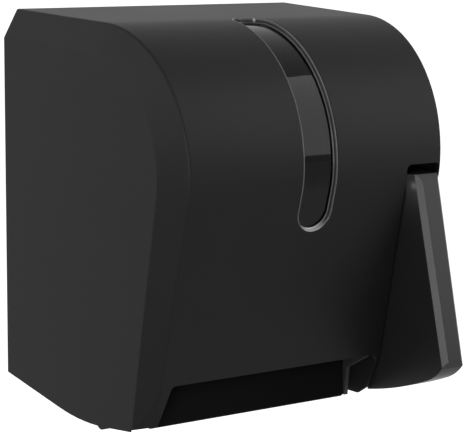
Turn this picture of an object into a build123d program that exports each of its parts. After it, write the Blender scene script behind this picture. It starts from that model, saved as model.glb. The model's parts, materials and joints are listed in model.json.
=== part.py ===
from build123d import *

import math
import os

# Wall-mounted dispenser for hardwound roll towel, worked by a push lever.
# Millimetres. X runs to the right seen from the front, -Y out of the wall, +Z up.
# The origin is the centre of the four wall screws, on the wall.
# Side views are drawn as (depth from the wall, height above the casing's lowest edge).

# ---- casing ----
casing_height = 366.0
pattern_height = 225.0      # centre of the wall screws above the lowest edge
casing_depth = 272.0        # wall to the most forward line of the crown
rear_half_width = 162.0     # at the wall, level with the lowest edge
side_taper = 3.0            # degrees, sides closing towards the front
side_flare = 1.3            # degrees, sides opening towards the top
crown_radius = 126.0
brow_radius = 75.0
front_lean = 12.7           # degrees, front face falling back to its foot
side_lean = 9.1             # the same on the inner line of the chamfer band
band_inset = 14.4           # chamfer band, measured across the front
band_drop = 26.5            # chamfer band, measured down the side
edge_radius = 2.5           # eased edges of the chamfer bands
wall = 3.0
wall_gap = 1.0              # cover's rear edge off the wall
belly_depth = 130.0         # lowest point of the sides' lower edge
belly_radius = 260.0
belly_dip = 2.7             # where the edge's two runs would meet, under its lowest point
rear_rise = 16.0            # lower edge at the wall, above its lowest point
front_rise = 8.6            # degrees, lower edge climbing to the front
lip_height = 53.0           # lower edge of the front face, over the towel recess
mouth_inset = 37.6          # left end of the recess, in from the side at the wall
mouth_splay = 13.5          # degrees, left end of the recess
mouth_corner = 9.0          # radius, right end of the lip
blade = 2.5                 # wall between the recess and the lever
blade_lean = 24.0           # degrees, its front edge
blade_foot = 8.0
wall_overlap = 12.0         # recess wall, behind the guide chute's toe
leg_bevel_foot = 11.3       # height where the leg's bevel meets the side
leg_bevel_cut = 1.5         # bevel's depth at the recess
leg_toe_rise = 3.7          # lower edge of the bevel, climbing towards the recess

# ---- window ----
window_width = 38.0
window_foot = 186.0         # lower end, a height
window_head = 143.0         # rear end on the top, a depth
window_edge = 0.8           # eased rim of the opening
collar_depth = 6.0          # collar round the window, from the outside
collar_wall = 1.8
lens_set = 4.8              # lens face, in from the outside
lens_gap = 0.25
lens_lip = 4.0
lens_wall = 2.0

# ---- lever ----
bay_inset = 24.0            # right side of the bay, in from the casing's side at the wall
bay_width = 39.0            # at its top
bay_splay = 11.5            # left side, from the bay's top to the cover's lip
bay_top = 241.0
bay_corner = 5.0
lever_top_gap = 9.5
lever_brow_drop = 5.8       # top bevel of the lever
lever_proud = 6.75          # brow of the lever, out from the cover
lever_lean = 15.8           # degrees, front face coming forward to its foot
lever_foot = 65.4           # bottom of the front face
lever_bevel = 5.0
lever_left_set = 10.0       # left bevel at the top, in from the bay's top left corner
lever_left_gap = 0.7        # left bevel at the foot, in from the bay's lower left corner
lever_right_gap = 1.4
shoulder_gap_top = 2.5
shoulder_gap_foot = 2.0
lever_wall = 2.5
lever_chin = 19.0           # short curve under the bar's foot, in depth
lever_heel_height = 12.5
pivot_height = 220.0
pivot_set = 25.4            # lever shaft, back from the cover's face
lever_travel = 22.0         # degrees
lever_shaft_radius = 4.0
lever_boss_radius = 8.0
lever_boss_gap = 1.6        # right boss of the lever to the lever cheek
roll_pin_radius = 1.25
lever_coil_radius = 5.4
lever_wire = 1.4
spring_set = 13.0           # lever spring, left of the gears
post_radius = 2.5

# ---- gears ----
gear_module = 1.5
sector_teeth = 154
idler_teeth = 40
pinion_teeth = 17
gear_width = 5.0
gear_gap = 3.0              # from the gears to the right cheek
sector_to_idler = -131.6    # degrees, direction from the lever pivot to the idler
idler_to_pinion = -44.6     # degrees, direction from the idler to the feed shaft
backlash = 0.16
idler_stud_radius = 3.0
clutch_radius = 6.5

# ---- towel path ----
roll_middle = -18.0
roll_width = 203.0
roll_radius = 101.5
roll_back = 21.0            # roll's axis, back from the crown's
roll_drop = 2.0             # roll's axis, under the crown's
arm_clearance = 3.0         # from the roll's ends to the arms
core_radius = 19.0
feed_radius = 17.0
feed_shaft_radius = 4.0
pinch_radius = 9.0
pinch_shaft_radius = 2.5
pinch_direction = 8.0       # degrees, from the feed shaft to the pinch shaft
nip_gap = 0.3
yoke_arm = 29.0             # from the yoke's rod to the pinch shaft
yoke_direction = 69.6       # degrees, from the pinch shaft up to the yoke's rod
yoke_rod_radius = 2.5
yoke_arm_width = 2.4
yoke_arm_gap = 0.8          # from the yoke's left arm to the cheek
sleeve_gap = 16.0
sleeve_end = 5.0
sleeve_count = 3

# ---- frame ----
plate_thickness = 4.0
cover_gap = 1.3
rim_depth = 16.0
rim_wall = 2.5
screw_spacing_x = 160.0
screw_spacing_z = 150.0
wall_screw_radius = 3.0
boss_height = 3.0
cheek_thickness = 4.0
left_cheek_inset = 36.0     # left cheek, in from the casing's side at the wall
right_cheek_gap = 2.0       # right cheek's left face, from the bay's top left corner
lever_cheek_gap = 3.0       # lever cheek, from the bay's right side
lever_cheek_thickness = 2.5
guard_gap = 2.0             # from the guard to the gears
guard_thickness = 2.0
foot_length = 14.0
foot_thickness = 4.0
bush_radius = 6.0

# ---- hinge ----
hinge_depth = 158.0
hinge_height = 7.0
knuckle_radius = 8.5
hinge_pin_radius = 3.0
ear_inset = 21.5            # ears, in from the casing's side at the wall
ear_thickness = 6.0
knuckle_gap = 0.5

# ---- lock ----
lock_depth = 40.0
lock_drop = 66.0            # under the casing's top
plug_radius = 5.0
barrel_radius = 7.5
barrel_length = 16.0
cam_length = 18.0
cam_thickness = 2.0
strike_thickness = 2.0

# ---- fits ----
running = 0.05
play = 0.3
screw_radius = 1.75
screw_head_radius = 3.4
screw_head_height = 2.2

floor = -pattern_height
middle_depth = casing_depth - crown_radius
middle_height = casing_height - crown_radius
taper = math.tan(math.radians(side_taper))
flare = math.tan(math.radians(side_flare))


# ---- drawing helpers ----
def side_view(x):
    """Plane across X, drawn as (depth, height)."""
    return Plane(origin=(x, 0, floor), x_dir=(0, -1, 0), z_dir=(-1, 0, 0))


def front_view(depth):
    """Plane parallel to the wall, drawn as (x, height)."""
    return Plane(origin=(0, -depth, floor), x_dir=(1, 0, 0), z_dir=(0, -1, 0))


def plan_view(height):
    """Level plane, drawn as (x, depth)."""
    return Plane(origin=(0, 0, floor + height), x_dir=(1, 0, 0), z_dir=(0, 0, -1))


def slab(face, x_low, x_high):
    """A side-view face carried from x_low to x_high."""
    return extrude(side_view(x_high) * face, x_high - x_low)


def front_block(face, depth_low, depth_high):
    """A front-view face carried from one depth to another."""
    return extrude(front_view(depth_low) * face, depth_high - depth_low)


def plan_block(face, height_low, height_high):
    """A plan-view face carried from one height to another."""
    return extrude(plan_view(height_high) * face, height_high - height_low)


def box(x_low, x_high, depth_low, depth_high, height_low, height_high):
    """A rectangular block between two corners."""
    face = Pos((depth_low + depth_high) / 2, (height_low + height_high) / 2) * Rectangle(
        depth_high - depth_low, height_high - height_low)
    return slab(face, x_low, x_high)


def rod(radius, x_low, x_high, depth, height):
    """A round bar along X."""
    return slab(Pos(depth, height) * Circle(radius), x_low, x_high)


def tube(outer, inner, x_low, x_high, depth, height):
    """A round sleeve along X."""
    return slab(Pos(depth, height) * (Circle(outer) - Circle(inner)), x_low, x_high)


def stud(radius, depth_low, depth_high, x, height):
    """A round bar along the wall's normal."""
    return front_block(Pos(x, height) * Circle(radius), depth_low, depth_high)


def outline(*points):
    """A closed figure through the points."""
    return make_face(Polyline(*points, close=True))


def rounded(face, radius, *corners):
    """The figure with the corners nearest to the given points rounded."""
    picked = [face.vertices().sort_by_distance((x, y, 0))[0] for x, y in corners]
    return fillet(picked, radius)


def sagging(start, end, sag):
    """The arc from a forward point back to a rear one that bulges downwards by sag."""
    run, rise = start[0] - end[0], start[1] - end[1]
    length = math.hypot(run, rise)
    middle = ((start[0] + end[0]) / 2 + sag * rise / length, (start[1] + end[1]) / 2 - sag * run / length)
    return ThreePointArc(start, middle, end)


def polar(centre, radius, degrees):
    """The point at a distance and direction from a centre."""
    angle = math.radians(degrees)
    return (centre[0] + radius * math.cos(angle), centre[1] + radius * math.sin(angle))


def flank_x(depth, height):
    """Half width of the casing's outside at a place on its side."""
    return rear_half_width - taper * depth + flare * height


def front_depth(height, skin=0.0):
    """Depth of the leaning front face at a height below the brow."""
    angle = math.radians(front_lean)
    brow = brow_radius - skin
    brow_depth = casing_depth - brow_radius
    tangent_depth = brow_depth + brow * math.cos(angle)
    tangent_height = middle_height - brow * math.sin(angle)
    return tangent_depth - math.tan(angle) * (tangent_height - height)


def spread(low, high, count):
    """Places that divide a span evenly, clear of its ends."""
    return [low + (high - low) * (step + 0.5) / count for step in range(count)]


# ---- derived places ----
bay_right = rear_half_width - bay_inset
bay_left_top = bay_right - bay_width
bay_left_foot = bay_left_top + bay_splay
mouth_left = rear_half_width - mouth_inset
lever_top = bay_top - lever_top_gap
lever_brow = lever_top - lever_brow_drop
lever_brow_depth = front_depth(lever_brow) + lever_proud
lever_left = bay_left_top + lever_left_set
lever_right = bay_right - lever_right_gap
shoulder_left_top = bay_left_top + shoulder_gap_top
shoulder_left_foot = bay_left_foot + shoulder_gap_foot
lever_heel_depth = front_depth(lever_heel_height)
left_cheek_left = left_cheek_inset - rear_half_width
left_cheek_right = left_cheek_left + cheek_thickness
right_cheek_left = bay_left_top - right_cheek_gap
right_cheek_right = right_cheek_left + cheek_thickness
lever_cheek_left = bay_right + lever_cheek_gap
lever_cheek_right = lever_cheek_left + lever_cheek_thickness
gear_right = right_cheek_left - gear_gap
gear_left = gear_right - gear_width
guard_left = gear_left - guard_gap - guard_thickness
ear_inner = rear_half_width - ear_inset
pivot_depth = front_depth(pivot_height) - pivot_set
pivot = (pivot_depth, pivot_height)
sector_radius = gear_module * sector_teeth / 2
idler_radius = gear_module * idler_teeth / 2
pinion_radius = gear_module * pinion_teeth / 2
idler = polar(pivot, sector_radius + idler_radius, sector_to_idler)
feed = polar(idler, idler_radius + pinion_radius, idler_to_pinion)
pinch = polar(feed, feed_radius + pinch_radius + nip_gap, pinch_direction)
yoke = polar(pinch, yoke_arm, yoke_direction)
yoke_depth, yoke_height = yoke
roll_depth = middle_depth - roll_back
roll_height = middle_height - roll_drop
roll = (roll_depth, roll_height)
roll_left = roll_middle - roll_width / 2
roll_right = roll_middle + roll_width / 2
left_arm_left = roll_left - arm_clearance - cheek_thickness
right_arm_left = roll_right + arm_clearance
sleeve_span = guard_left - left_cheek_right - 2 * sleeve_end - 1
sleeve_length = (sleeve_span + sleeve_gap) / sleeve_count - sleeve_gap
sleeve_starts = [left_cheek_right + sleeve_end + index * (sleeve_length + sleeve_gap)
                 for index in range(sleeve_count)]
sleeve_places = [(start, start + sleeve_length) for start in sleeve_starts]
yoke_arm_left = left_cheek_right + yoke_arm_gap
yoke_arm_right = guard_left - 1.5
spring_left = gear_left - spring_set
lever_boss_left = shoulder_left_top + 0.9
lever_boss_right = lever_cheek_left - lever_boss_gap
hinge = (hinge_depth, hinge_height)
lock_height = casing_height - lock_drop
lock = (lock_depth, lock_height)
ear_outer = ear_inner + ear_thickness
knuckle_inner = ear_outer + knuckle_gap
barrel_left = flank_x(*lock) - barrel_length


# ---- casing forms ----
def casing_outline(shrink, lean, rear):
    """Side view: rear line, level top, crown arc, brow arc and a front that leans back to its foot."""
    low = -60.0
    crown = crown_radius - shrink
    brow = brow_radius - shrink
    nose = middle_depth + crown
    brow_depth = nose - brow
    top = middle_height + crown
    start = polar((brow_depth, middle_height), brow, -lean)
    foot = (start[0] - math.tan(math.radians(lean)) * (start[1] - low), low)
    return make_face([
        Line((rear, low), (rear, top)),
        Line((rear, top), (middle_depth, top)),
        CenterArc((middle_depth, middle_height), crown, 0, 90),
        CenterArc((brow_depth, middle_height), brow, -lean, lean),
        Line(start, foot),
        Line(foot, (rear, low)),
    ])


def flank(side, inset):
    """Plane of a tapered side, moved in by inset; side is 1 on the right and -1 on the left."""
    return Plane(origin=(side * (rear_half_width - inset), 0, floor),
                 x_dir=(-side * taper, -1, 0), z_dir=(-1, side * taper, side * flare))


def casing_form(skin=0.0, rear=0.0):
    """Closed form of the casing, or the form lying an even skin inside it.

    Four side views are ruled together: flank, front edge of the band, and their mirror images.
    """
    slope = band_drop / band_inset
    drop = band_drop + skin * (math.hypot(1, slope) - slope)
    inset = band_inset + skin * (math.hypot(1, 1 / slope) - 1 / slope)
    side = casing_outline(drop, side_lean, rear)
    front = casing_outline(skin, front_lean, rear)
    return loft([flank(-1, skin) * side, flank(-1, inset) * front,
                 flank(1, inset) * front, flank(1, skin) * side], ruled=True)


def casing_outside():
    """The casing's outside with the long edges of both chamfer bands eased."""
    form = casing_form(0, wall_gap)
    long_edges = []
    for edge in form.edges():
        middle = edge.position_at(0.5)
        sideways = abs(edge.position_at(0).X - edge.position_at(1).X)
        if middle.Y < -2 * wall_gap and middle.Z > floor and sideways < 0.3 * edge.length:
            long_edges.append(edge)
    return fillet(long_edges, edge_radius)


def below_casing(lift=0.0):
    """Everything under the sides' lower edge, which dips to its belly and climbs to the front."""
    climb = math.tan(math.radians(front_rise))
    far = casing_depth * 1.5
    rear = -belly_depth
    dip = lift - belly_dip
    face = outline((rear, -3 * belly_depth), (rear, 2 * (rear_rise + belly_dip) + dip), (belly_depth, dip),
                   (far, (far - belly_depth) * climb + dip), (far, -3 * belly_depth))
    face = rounded(face, belly_radius, (belly_depth, dip))
    return slab(face, -2 * rear_half_width, 2 * rear_half_width)


def skin_strip(depth_in, depth_out, half_width, reach):
    """A strip of the crown and front: the skin between two depths under the surface,
    with a round end on the top and another on the front."""
    low = window_foot - reach
    rear = window_head - reach
    shell = slab(casing_outline(depth_out, front_lean, rear)
                 - casing_outline(depth_in, front_lean, rear - wall), -half_width, half_width)
    top_end = Pos(0, rear + half_width) * Circle(half_width)
    top_run = Pos(0, rear + half_width + casing_depth / 2) * Rectangle(2 * half_width, casing_depth)
    front_end = Pos(0, low + half_width) * Circle(half_width)
    front_run = Pos(0, low + half_width + casing_height / 2) * Rectangle(2 * half_width, casing_height)
    return (shell & plan_block(top_end + top_run, 0, casing_height + wall)
            & front_block(front_end + front_run, 0, casing_depth + wall))


def lever_bay():
    """The tall opening that the lever stands in."""
    low = -casing_height
    face = outline((bay_left_top, bay_top), (bay_right, bay_top), (bay_right, low),
                   (bay_left_foot, low), (bay_left_foot, lip_height))
    face = rounded(face, bay_corner, (bay_left_top, bay_top), (bay_right, bay_top))
    return front_block(face, middle_depth, casing_depth + crown_radius)


def recess_mouth():
    """The opening under the front face that the towel hangs out of."""
    low = -casing_height
    splay = math.tan(math.radians(mouth_splay)) * (lip_height - low)
    right = bay_left_foot - blade
    face = outline((-mouth_left, lip_height), (right, lip_height), (right, low), (-mouth_left - splay, low))
    face = rounded(face, mouth_corner, (right, lip_height))
    face = rounded(face, mouth_corner / 2, (-mouth_left, lip_height))
    return front_block(face, middle_depth, casing_depth + crown_radius)


def blade_front(height):
    """Depth of the front edge of the wall between the recess and the lever."""
    start = lip_height - mouth_corner / 2
    return front_depth(start) - math.tan(math.radians(blade_lean)) * (start - height)


def recess_wall():
    """Right wall of the recess, running down beside the lever."""
    start = lip_height - mouth_corner / 2
    top = start + 2 * mouth_corner
    rear = toe_depth() - wall_overlap
    toe = 3 * wall
    face = outline((rear, top), (front_depth(top) - 1, top), (front_depth(start), start),
                   (blade_front(blade_foot + toe), blade_foot + toe),
                   (blade_front(blade_foot) - toe, blade_foot), (rear, blade_foot - 1))
    face = rounded(face, wall, (blade_front(blade_foot + toe), blade_foot + toe))
    return slab(face, bay_left_foot - blade, bay_left_foot)


def recess_wall_relief():
    """What stands in front of the recess wall's leaning edge."""
    start = lip_height - mouth_corner / 2
    face = outline((front_depth(start), start), (casing_depth, start), (casing_depth, -casing_height),
                   (blade_front(-casing_height), -casing_height))
    return slab(face, bay_left_foot - 2 * blade, bay_right)


def side_edge_depth(height):
    """Depth of the line where the chamfer band meets the side, below the brow."""
    angle = math.radians(side_lean)
    brow = brow_radius - band_drop
    tangent_height = middle_height - brow * math.sin(angle)
    depth = casing_depth - brow_radius + brow * math.cos(angle) - math.tan(angle) * (tangent_height - height)
    return depth / math.hypot(1, taper)


def mouth_edge(height):
    """Half width of the recess at a height, at its left end."""
    return mouth_left + math.tan(math.radians(mouth_splay)) * (lip_height - height)


def leg_bevel(side):
    """Corner taken off the foot of a leg: a plane from the band's front edge to the side and the recess."""
    lip_depth = front_depth(lip_height)
    low = leg_bevel_foot
    high = low + leg_toe_rise
    top = (flank_x(lip_depth, lip_height) - band_inset, lip_depth, lip_height)
    foot = (flank_x(side_edge_depth(low), low), side_edge_depth(low), low)
    inner = (mouth_edge(high), front_depth(high) - leg_bevel_cut, high)
    points = [Vector(side * x, -d, floor + h) for x, d, h in (top, foot, inner)]
    normal = (points[1] - points[0]).cross(points[2] - points[0]).normalized()
    if normal.Y > 0:
        normal = -normal
    plane = Plane(origin=points[0], z_dir=normal)
    cutter = extrude(plane * Rectangle(4 * band_inset, 8 * band_inset), band_inset)
    cutter &= box(-rear_half_width, rear_half_width, 0, casing_depth, -casing_height, lip_height)
    edge = outline((side * foot[0], low), (side * inner[0], high), (side * (inner[0] - band_inset), high),
                   (side * (inner[0] - band_inset), -low), (side * foot[0], -low))
    return cutter + front_block(edge, foot[1] - 2 * wall, casing_depth)


# ---- cover ----
def front_cover():
    """One-piece moulded cover: crown, chamfer bands, legs, window, lever bay and hinge knuckles."""
    cover = casing_outside() - casing_form(wall, -casing_depth)
    cover -= below_casing()
    cover += skin_strip(collar_depth, wall / 2, window_width / 2 + collar_wall, collar_wall)
    cover -= skin_strip(2 * collar_depth, -wall, window_width / 2, 0)
    cover = fillet(window_rim(cover), window_edge)
    cover += recess_wall()
    cover -= lever_bay() + recess_mouth() + recess_wall_relief()
    for side in (-1, 1):
        cover -= leg_bevel(side)
        cover += knuckle(side)
    cover += cover_ribs()
    return cover - rod(barrel_radius + running, barrel_left, 2 * rear_half_width, *lock)


def window_rim(cover):
    """Edges round the mouth of the window, on the cover's outside."""
    near = skin_strip(window_edge, -window_edge, window_width / 2 + window_edge, window_edge)
    return [edge for edge in cover.edges() if near.is_inside(edge.position_at(0.5))]


def knuckle(side):
    """Hinge boss inside the lower edge of a side, with a blind hole for the pin."""
    inner = side * knuckle_inner
    skin = side * (flank_x(*hinge) - wall / 2)
    bottom = side * (flank_x(*hinge) - wall)
    boss = rod(knuckle_radius, min(inner, skin), max(inner, skin), *hinge)
    hole = rod(hinge_pin_radius + running, min(inner, bottom), max(inner, bottom), *hinge)
    return boss - hole


def cover_ribs():
    """Stiffening ribs under the crown, each side of the window."""
    ribs = Part()
    rear = rim_depth + 2 * wall
    rib = casing_outline(wall - play, front_lean, rear) - casing_outline(2.5 * wall, front_lean, 0)
    rib -= outline((0, -casing_height), (2 * casing_depth, -casing_height),
                   (2 * casing_depth, middle_height), (0, middle_height))
    for x in (-window_width * 1.5, window_width * 1.5):
        ribs += slab(rib, x - wall / 4, x + wall / 4)
    return ribs


def window_lens():
    """Clear strip seated in the cover from inside, with a lip behind the collar all round."""
    seat = collar_depth + lens_gap
    pane = skin_strip(seat + lens_wall, lens_set, window_width / 2 - lens_gap, -lens_gap)
    rim = skin_strip(seat + lens_wall, seat, window_width / 2 + lens_lip, lens_lip)
    return pane + rim


# ---- lock ----
def lock_barrel():
    """Flanged housing of the key lock, through the cover's right side."""
    face = flank_x(*lock)
    head = rod(barrel_radius + 2.5, face - 1, face + 2, *lock) - casing_form()
    body = rod(barrel_radius, barrel_left, face, *lock)
    return head + body - rod(plug_radius + running, face - 20, face + 4, *lock)


def lock_plug():
    """Turning plug with a key slot outside and a tail for the cam inside."""
    face = flank_x(*lock)
    plug = rod(plug_radius, barrel_left - 0.5, face + 1.6, *lock)
    tail = rod(plug_radius / 2, barrel_left - 0.5 - cam_thickness, barrel_left - 0.5, *lock)
    slot = box(face, face + 2, lock_depth - 0.8, lock_depth + 0.8, lock_height - 3, lock_height + 3)
    return plug + tail - slot


def lock_cam():
    """Cam that turns up behind the strike; at rest it points to the wall."""
    right = barrel_left - 0.5
    tip = (lock_depth - cam_length, lock_height)
    face = make_hull((Pos(*lock) * Circle(plug_radius + 2.5) + Pos(*tip) * Circle(3)).edges())
    return slab(face, right - cam_thickness, right) - rod(plug_radius / 2, right - 5, right, *lock)


def lock_nut():
    """Hexagon nut that clamps the barrel behind the cover's side."""
    right = flank_x(*lock) - wall - 0.8
    nut = Pos(*lock) * RegularPolygon(barrel_radius + 3, 6)
    return slab(nut, right - 4, right) - rod(barrel_radius, right - 5, right, *lock)


def cam_screw():
    """Screw that holds the cam on the plug's tail."""
    right = barrel_left - 0.5 - cam_thickness
    return rod(plug_radius - 1, right - 1.8, right, *lock)


# ---- back plate ----
def back_plate():
    """Moulded tray that hangs on the wall: plate, rim, ribs, hinge ears and screw bosses."""
    gap = wall + cover_gap
    sheet = box(-2 * rear_half_width, 2 * rear_half_width, 0, plate_thickness, 0, casing_height)
    rim_zone = box(-2 * rear_half_width, 2 * rear_half_width, 0, rim_depth, 0, casing_height)
    nest = casing_form(gap, -wall)
    tray = (nest & sheet) + ((nest - casing_form(gap + rim_wall, -casing_depth)) & rim_zone)
    tray -= below_casing(cover_gap + 1)
    tray += plate_ribs()
    for side in (-1, 1):
        tray += hinge_ear(side)
    for x, height in wall_screw_places():
        tray += stud(8, 0, plate_thickness + boss_height, x, height)
    for x, height in wall_screw_places():
        tray -= stud(wall_screw_radius, -1, plate_thickness + boss_height + 1, x, height)
    for x, height in cheek_screw_places() + arm_screw_places() + strike_screw_places():
        tray += stud(screw_radius + 2, 0, plate_thickness, x, height)
        tray -= stud(screw_radius, 1, plate_thickness, x, height)
    return tray


def wall_screw_places():
    """The four corners of the wall screw pattern, as (x, height)."""
    return [(x, pattern_height + z) for x in (-screw_spacing_x / 2, screw_spacing_x / 2)
            for z in (-screw_spacing_z / 2, screw_spacing_z / 2)]


def plate_ribs():
    """Upright and level ribs on the front of the plate."""
    ribs = Part()
    for x in (-70.0, 0.0, 60.0):
        ribs += box(x - 1, x + 1, 1, plate_thickness + 5, 30, casing_height - band_drop)
    reach = rear_half_width - 12
    for height in (roll_height - roll_radius - 6.5, casing_height - band_drop - wall):
        ribs += box(-reach, reach, 1, plate_thickness + 5, height - 1, height + 1)
    return ribs


def hinge_ear(side):
    """Arm from the foot of the plate that carries a hinge pin inside the cover's side."""
    lift = 2.5
    face = outline((1, rear_rise + lift + 1), (belly_depth, lift),
                   (hinge_depth, hinge_height - knuckle_radius), (hinge_depth, hinge_height + knuckle_radius),
                   (hinge_depth / 2, 34), (1, 62))
    face += Pos(*hinge) * Circle(knuckle_radius)
    face -= Pos(*hinge) * Circle(hinge_pin_radius)
    low = ear_inner if side > 0 else -ear_outer
    return slab(face, low, low + ear_thickness)


def strike_screw_places():
    """Two screws through the strike's foot, as (x, height)."""
    x = barrel_left - cam_thickness - 13
    return [(x, lock_height + plug_radius + 8), (x, lock_height + plug_radius + 22)]


def lock_strike():
    """Bent steel strip screwed to the back plate, whose lip stands in front of the turned cam."""
    front = lock_depth + plug_radius + 1.5
    low = lock_height + cam_length - 3
    left = barrel_left - cam_thickness - 8
    arm = box(left, left + strike_thickness, plate_thickness, front + strike_thickness, low - 16, low + 12)
    lip = box(left, barrel_left + 3, front, front + strike_thickness, low, low + 12)
    foot = box(left - 12, left, plate_thickness, plate_thickness + strike_thickness, low - 16, low + 12)
    strike = arm + lip + foot
    for x, height in strike_screw_places():
        strike -= stud(screw_radius + running, 0, 2 * plate_thickness, x, height)
    return strike


def hinge_pin(side):
    """Headed pin pressed into an ear, its nose running in the cover's knuckle."""
    nose = flank_x(*hinge) - wall - play
    pin = rod(hinge_pin_radius, ear_inner - 1, nose, *hinge)
    head = rod(hinge_pin_radius + 2, ear_inner - 3, ear_inner, *hinge)
    both = pin + head
    return both if side > 0 else mirror(both, Plane.YZ)


# ---- roll arms ----
def arm_screw_places():
    """Two screws through the foot of each roll arm, as (x, height)."""
    places = []
    left = left_arm_left + foot_length / 2 - cheek_thickness * 3.2
    for x in (left, right_arm_left + cheek_thickness * 2.6):
        places += [(x, roll_height - 24), (x, roll_height + 24)]
    return places


def roll_arm(side):
    """Flat arm with a foot on the back plate and a stub axle that points into the roll's core."""
    left = left_arm_left if side < 0 else right_arm_left
    base = plate_thickness
    web = outline((base, roll_height - 38), (roll_depth - 30, roll_height - 17),
                  (roll_depth, roll_height - 17), (roll_depth, roll_height + 17),
                  (roll_depth - 30, roll_height + 17), (base, roll_height + 38))
    web += Pos(*roll) * Circle(17)
    web -= Pos(roll_depth / 2 - 8, roll_height) * SlotOverall(34, 18)
    arm = slab(web, left, left + cheek_thickness)
    foot_left = left - foot_length + cheek_thickness if side < 0 else left
    arm += box(foot_left, foot_left + foot_length, base, base + foot_thickness,
               roll_height - 38, roll_height + 38)
    axle = (left + cheek_thickness, left + cheek_thickness + 24) if side < 0 else (left - 24, left)
    arm += rod(5, *axle, *roll)
    for x, height in arm_screw_places():
        arm -= stud(screw_radius + running, base - 1, base + foot_thickness + 1, x, height)
    return arm


def core_hub(side):
    """Turning hub for the roll's core: flange, tapered nose and four driving ribs."""
    start = roll_left - 1.5 if side < 0 else roll_right + 1.5
    inward = -side
    flange = rod(26, min(start, start + inward * 1.5), max(start, start + inward * 1.5), *roll)
    nose_low = start + inward * 1.5
    taper_low = nose_low + inward * 12
    near = side_view(taper_low) * (Pos(*roll) * Circle(core_radius - 1))
    far = side_view(taper_low + inward * 8) * (Pos(*roll) * Circle(core_radius - 4))
    straight = rod(core_radius - 1, min(nose_low, taper_low), max(nose_low, taper_low), *roll)
    hub = flange + straight + loft([near, far])
    hub -= rod(5 + running, roll_left - 30, roll_right + 30, *roll)
    pocket = Circle(core_radius - 6) - Circle(8)
    pocket -= Rectangle(2, 60) + Rectangle(60, 2)
    reach = nose_low + inward * 2
    end = nose_low + inward * 30
    return hub - slab(Pos(*roll) * pocket, min(reach, end), max(reach, end))


def hub_clip(side):
    """Push-on clip at the end of a stub axle."""
    start = roll_left - 1.5 if side < 0 else roll_right + 1.5
    outer = start - side * 21.8
    inner = start - side * 22.9
    return tube(7.5, 5, min(outer, inner), max(outer, inner), *roll)


# ---- drive frame ----
def cheek_feet():
    """Left edge and screw heights of the foot of each cheek."""
    return [(left_cheek_left, (40.0, 84.0)), (right_cheek_right - foot_length, (40.0, 84.0)),
            (lever_cheek_left - foot_length, (lever_cheek_foot()[0] + 10, lever_cheek_foot()[1] - 14))]


def cheek_screw_places():
    """Screws through the feet of the three cheeks, as (x, height)."""
    places = []
    for left, heights in cheek_feet():
        inset = foot_length * 0.68 if left < 0 else foot_length * 0.32
        places += [(left + inset, height) for height in heights]
    return places


def cheek_foot(index, low, high):
    """Flange of a cheek on the back plate."""
    left = cheek_feet()[index][0]
    foot = box(left, left + foot_length, plate_thickness, plate_thickness + foot_thickness, low, high)
    for x, height in cheek_screw_places():
        foot -= stud(screw_radius + running, 0, 3 * foot_thickness, x, height)
    return foot


def cheek_body():
    """Side view of the lower drive frame, its front edge set back behind the cover."""
    return outline((plate_thickness, 26), (60, 12), (belly_depth, 4), (toe_depth() + 2, 6),
                   (toe_depth() + 4, 34), (front_depth(lip_height) - 4, lip_height - 2),
                   (front_depth(yoke_height) - 2 * wall, yoke_height), (yoke_depth - 16, yoke_height + 16),
                   (feed[0] - 28, yoke_height + 12), (plate_thickness, 96))


def left_cheek():
    """Left side plate of the drive frame."""
    face = rounded(cheek_body(), 6, (yoke_depth - 16, yoke_height + 16))
    plate = slab(face, left_cheek_left, left_cheek_right) + cheek_foot(0, 28, 96)
    plate -= rod(bush_radius, left_cheek_left - 1, left_cheek_right + 1, *feed)
    return plate - rod(yoke_rod_radius, left_cheek_left - 1, left_cheek_right + 1, *yoke)


def right_cheek():
    """Right side plate: wall of the recess, carrier of the gears and arm up to the lever's pivot."""
    upper = outline((feed[0] - 28, 100), (front_depth(100) - 2 * wall, 100),
                    (front_depth(180) - 2 * wall, 180),
                    (pivot_depth + 9, pivot_height), (pivot_depth - 9, pivot_height + 4),
                    (pivot_depth - 38, pivot_height - 60))
    ends = Pos(*idler) * Circle(16) + Pos(pivot_depth - 38, pivot_height - 68) * Circle(12)
    ends += Pos(*guard_posts()[0]) * Circle(9) + Pos(*guard_posts()[2]) * Circle(9)
    carrier = make_hull(ends.edges())
    face = cheek_body() + upper + carrier + Pos(*pivot) * Circle(10)
    plate = slab(face, right_cheek_left, right_cheek_right) + cheek_foot(1, 28, 96)
    plate += rod(4.5, gear_right + 0.4, right_cheek_left + 1, *idler)
    stop_depth = lever_rear(lever_top)
    plate += box(right_cheek_right - 1, lever_left - 1, stop_depth - 8, stop_depth - 4,
                 pivot_height + 4, lever_top + 5)
    plate += box(right_cheek_right - cheek_thickness, right_cheek_right, stop_depth - 8, stop_depth + 2,
                 pivot_height - 20, lever_top + 5)
    plate += rod(post_radius, spring_left, right_cheek_left + 1, *spring_post())
    plate += rod(5, right_cheek_left, right_cheek_right, *spring_post())
    for centre, radius in ((feed, bush_radius), (pivot, bush_radius), (idler, idler_stud_radius)):
        plate -= rod(radius, gear_right, right_cheek_right + 1, *centre)
    for place in guard_posts():
        plate -= rod(screw_radius, right_cheek_left, right_cheek_right + 1, *place)
    return plate


def lever_cheek_foot():
    """Lowest and highest point of the lever cheek's foot."""
    return pivot_height - 80, pivot_height - 16


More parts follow.
